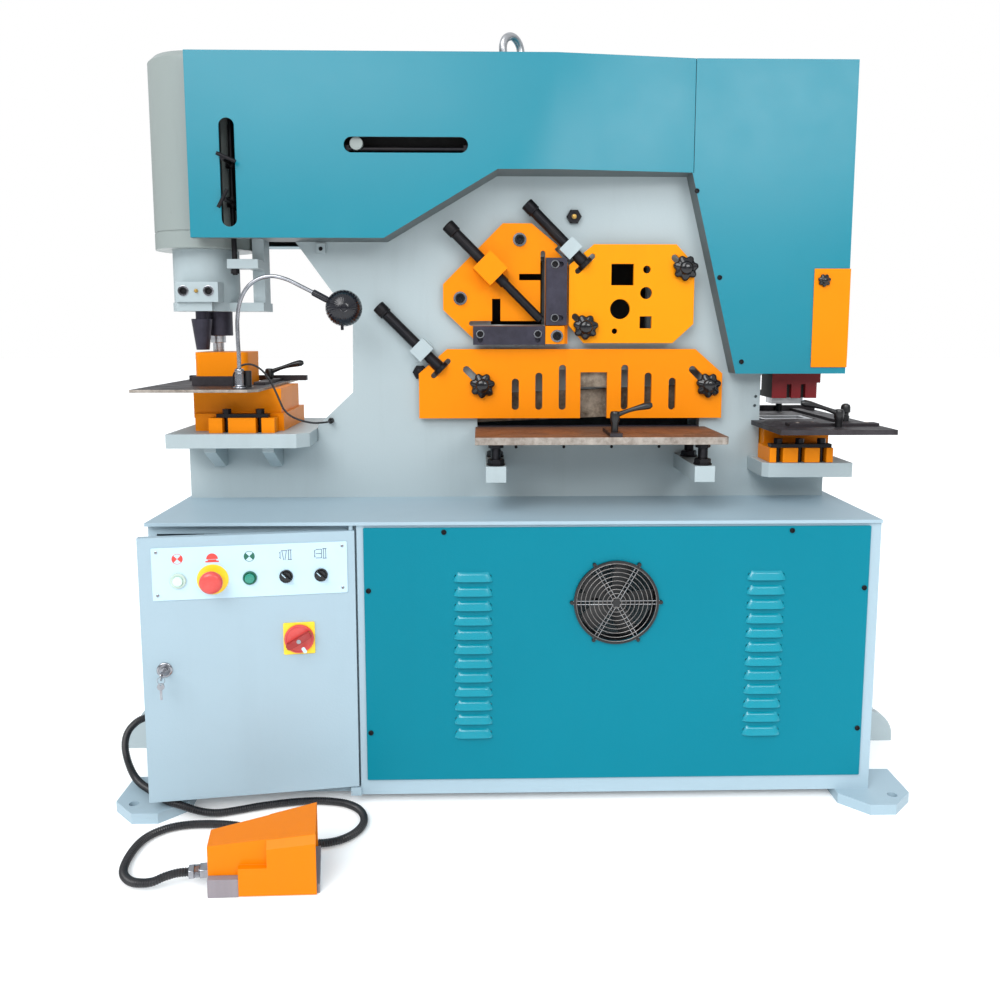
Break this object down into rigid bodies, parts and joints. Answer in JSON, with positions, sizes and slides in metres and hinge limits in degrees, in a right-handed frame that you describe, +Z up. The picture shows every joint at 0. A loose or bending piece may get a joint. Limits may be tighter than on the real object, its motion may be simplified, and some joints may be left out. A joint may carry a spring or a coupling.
{
  "type": "hydraulic ironworker",
  "caption": "Hydraulic ironworker with punching, angle, bar and flat shearing and notching stations on a cabinet base with a foot switch.",
  "frame": {"origin": "on the floor, at the centre of the four anchor holes", "axes": "+X along the machine towards the notching end, +Y away from the operator, +Z up"},
  "size_m": [2.07, 1.1534, 1.855],
  "materials": {
    "frame_paint": "semi-gloss light blue-grey",
    "cover_paint": "semi-gloss teal",
    "guard_paint": "semi-gloss orange-yellow",
    "black_steel": "blackened, satin",
    "bright_steel": "ground",
    "tool_red": "satin dark red",
    "chrome": "polished",
    "table_steel": "bare machined steel, browned",
    "black_plastic": "moulded",
    "switch_white": "satin",
    "switch_green": "gloss",
    "switch_red": "gloss",
    "hose_rubber": "matt black"
  },
  "bodies": {
    "frame": {"front_plate": "frame_paint", "rear_plate": "frame_paint", "base_cabinet": "frame_paint", "front_panel": "cover_paint", "rear_panel": "cover_paint", "left_cover": "cover_paint", "right_cover": "cover_paint", "rear_cover": "cover_paint", "side_guard": "guard_paint", "punch_cylinder": "frame_paint", "shear_cylinder": "frame_paint", "lifting_eye": "bright_steel", "die_shelves": "frame_paint", "punch_die_holder": "guard_paint", "notch_die_holder": "guard_paint", "die_clamps": "black_steel", "punch_table": "black_steel", "notch_table": "black_steel", "lamp_neck": "chrome", "lamp_head": "black_steel", "lamp_cable": "hose_rubber", "shear_table": "table_steel", "table_arms": "frame_paint", "fixed_blades": "black_steel", "angle_guard": "guard_paint", "screw_blocks": "frame_paint", "hydraulic_unit": "frame_paint", "fan_guard": "black_steel", "electrics_panel": "switch_white", "pins_and_screws": "black_steel", "foot_hose": "hose_rubber", "cable_glands": "bright_steel", "pedal_base": "bright_steel", "pedal_hood": "guard_paint", "table_gauges": "black_steel", "star_knobs": "black_plastic"},
    "ram": {"punch_ram": "frame_paint", "punch_tooling": "black_steel", "trip_rod": "frame_paint"},
    "collar_upper": {"trip_collar_upper": "black_steel"},
    "collar_lower": {"trip_collar_lower": "black_steel"},
    "beam": {"shear_beam": "table_steel", "notch_punch": "tool_red"},
    "rod": {"shear_rod": "bright_steel"},
    "flat_stop": {"flat_guard": "guard_paint"},
    "flat_spindle": {"flat_screw": "black_steel"},
    "bar_stop": {"bar_guard": "guard_paint"},
    "bar_spindle": {"bar_screw": "black_steel"},
    "angle_spindle": {"angle_screw": "black_steel"},
    "door": {"door": "frame_paint", "door_plates": "switch_white"},
    "lock": {"door_lock": "bright_steel"},
    "white_key": {"white_button": "switch_white"},
    "green_key": {"green_button": "switch_green"},
    "stop_key": {"stop_button": "switch_red"},
    "left_dial": {"selector_left": "black_plastic"},
    "right_dial": {"selector_right": "black_plastic"},
    "main_dial": {"main_switch": "switch_red"},
    "fan": {"fan_rotor": "black_plastic"},
    "tread": {"pedal_tread": "black_steel"}
  },
  "joints": [
    {"name": "ram_slide", "type": "slide", "parent": "frame", "child": "ram", "axis": [0, 0, 1], "range_m": [-0.005, 0.075]},
    {"name": "upper_collar_slide", "type": "slide", "parent": "ram", "child": "collar_upper", "axis": [0, 0, 1], "range_m": [-0.02, 0.004]},
    {"name": "lower_collar_slide", "type": "slide", "parent": "ram", "child": "collar_lower", "axis": [0, 0, 1], "range_m": [-0.04, 0.01]},
    {"name": "beam_swing", "type": "hinge", "parent": "frame", "child": "beam", "pos_m": [-0.236, 0, 1.004], "axis": [0, 1, 0], "range_deg": [0, 2.85]},
    {"name": "rod_slide", "type": "slide", "parent": "frame", "child": "rod", "axis": [0, 0, -1], "range_m": [0, 0.047]},
    {"name": "flat_guard_slide", "type": "slide", "parent": "frame", "child": "flat_stop", "axis": [0.7071, 0, -0.7071], "range_m": [-0.01, 0.026]},
    {"name": "flat_screw_turn", "type": "hinge", "parent": "flat_stop", "child": "flat_spindle", "pos_m": [-0.182, -0.0865, 1.014], "axis": [0.7071, 0, -0.7071], "range_deg": [-901, 2341]},
    {"name": "bar_guard_slide", "type": "slide", "parent": "frame", "child": "bar_stop", "axis": [0.7071, 0, -0.7071], "range_m": [0, 0.03]},
    {"name": "bar_screw_turn", "type": "hinge", "parent": "bar_stop", "child": "bar_spindle", "pos_m": [0.18, -0.097, 1.275], "axis": [0.7071, 0, -0.7071], "range_deg": [-1, 2701]},
    {"name": "angle_screw_turn", "type": "hinge", "parent": "frame", "child": "angle_spindle", "pos_m": [-0.057, -0.115, 1.262], "axis": [0.7071, 0, -0.7071], "range_deg": [-360, 360]},
    {"name": "door_swing", "type": "hinge", "parent": "frame", "child": "door", "pos_m": [-0.378, -0.363, 0.35], "axis": [0, 0, 1], "range_deg": [-8, 33]},
    {"name": "lock_turn", "type": "hinge", "parent": "door", "child": "lock", "pos_m": [-0.78771, -0.42967, 0.359], "axis": [0.1392, -0.9903, 0], "range_deg": [0, 90]},
    {"name": "white_press", "type": "slide", "parent": "door", "child": "white_key", "axis": [-0.1392, 0.9903, 0], "range_m": [0, 0.004], "stiffness_N_per_m": 600, "springref_m": -0.002},
    {"name": "green_press", "type": "slide", "parent": "door", "child": "green_key", "axis": [-0.1392, 0.9903, 0], "range_m": [0, 0.004], "stiffness_N_per_m": 600, "springref_m": -0.002},
    {"name": "stop_press", "type": "slide", "parent": "door", "child": "stop_key", "axis": [-0.1392, 0.9903, 0], "range_m": [0, 0.004]},
    {"name": "left_selector_turn", "type": "hinge", "parent": "door", "child": "left_dial", "pos_m": [-0.52034, -0.39209, 0.562], "axis": [0.1392, -0.9903, 0], "range_deg": [-45, 45]},
    {"name": "right_selector_turn", "type": "hinge", "parent": "door", "child": "right_dial", "pos_m": [-0.44409, -0.38138, 0.562], "axis": [0.1392, -0.9903, 0], "range_deg": [-45, 45]},
    {"name": "main_switch_turn", "type": "hinge", "parent": "door", "child": "main_dial", "pos_m": [-0.49558, -0.38861, 0.416], "axis": [0.1392, -0.9903, 0], "range_deg": [0, 90]},
    {"name": "fan_spin", "type": "hinge", "parent": "frame", "child": "fan", "pos_m": [0.229, -0.352, 0.49], "axis": [0, 1, 0], "continuous": true},
    {"name": "tread_press", "type": "hinge", "parent": "frame", "child": "tread", "pos_m": [-0.55494, -0.65611, 0.034], "axis": [-0.1564, 0.9877, 0], "range_deg": [0, 12], "stiffness_Nm_per_rad": 4, "springref_deg": -14.32}
  ],
  "couplings": [
    {"joint": "rod_slide", "follows": "beam_swing", "m_per_rad": 0.936},
    {"joint": "flat_screw_turn", "follows": "flat_guard_slide", "rad_per_m": 1570.8},
    {"joint": "bar_screw_turn", "follows": "bar_guard_slide", "rad_per_m": 1570.8}
  ]
}
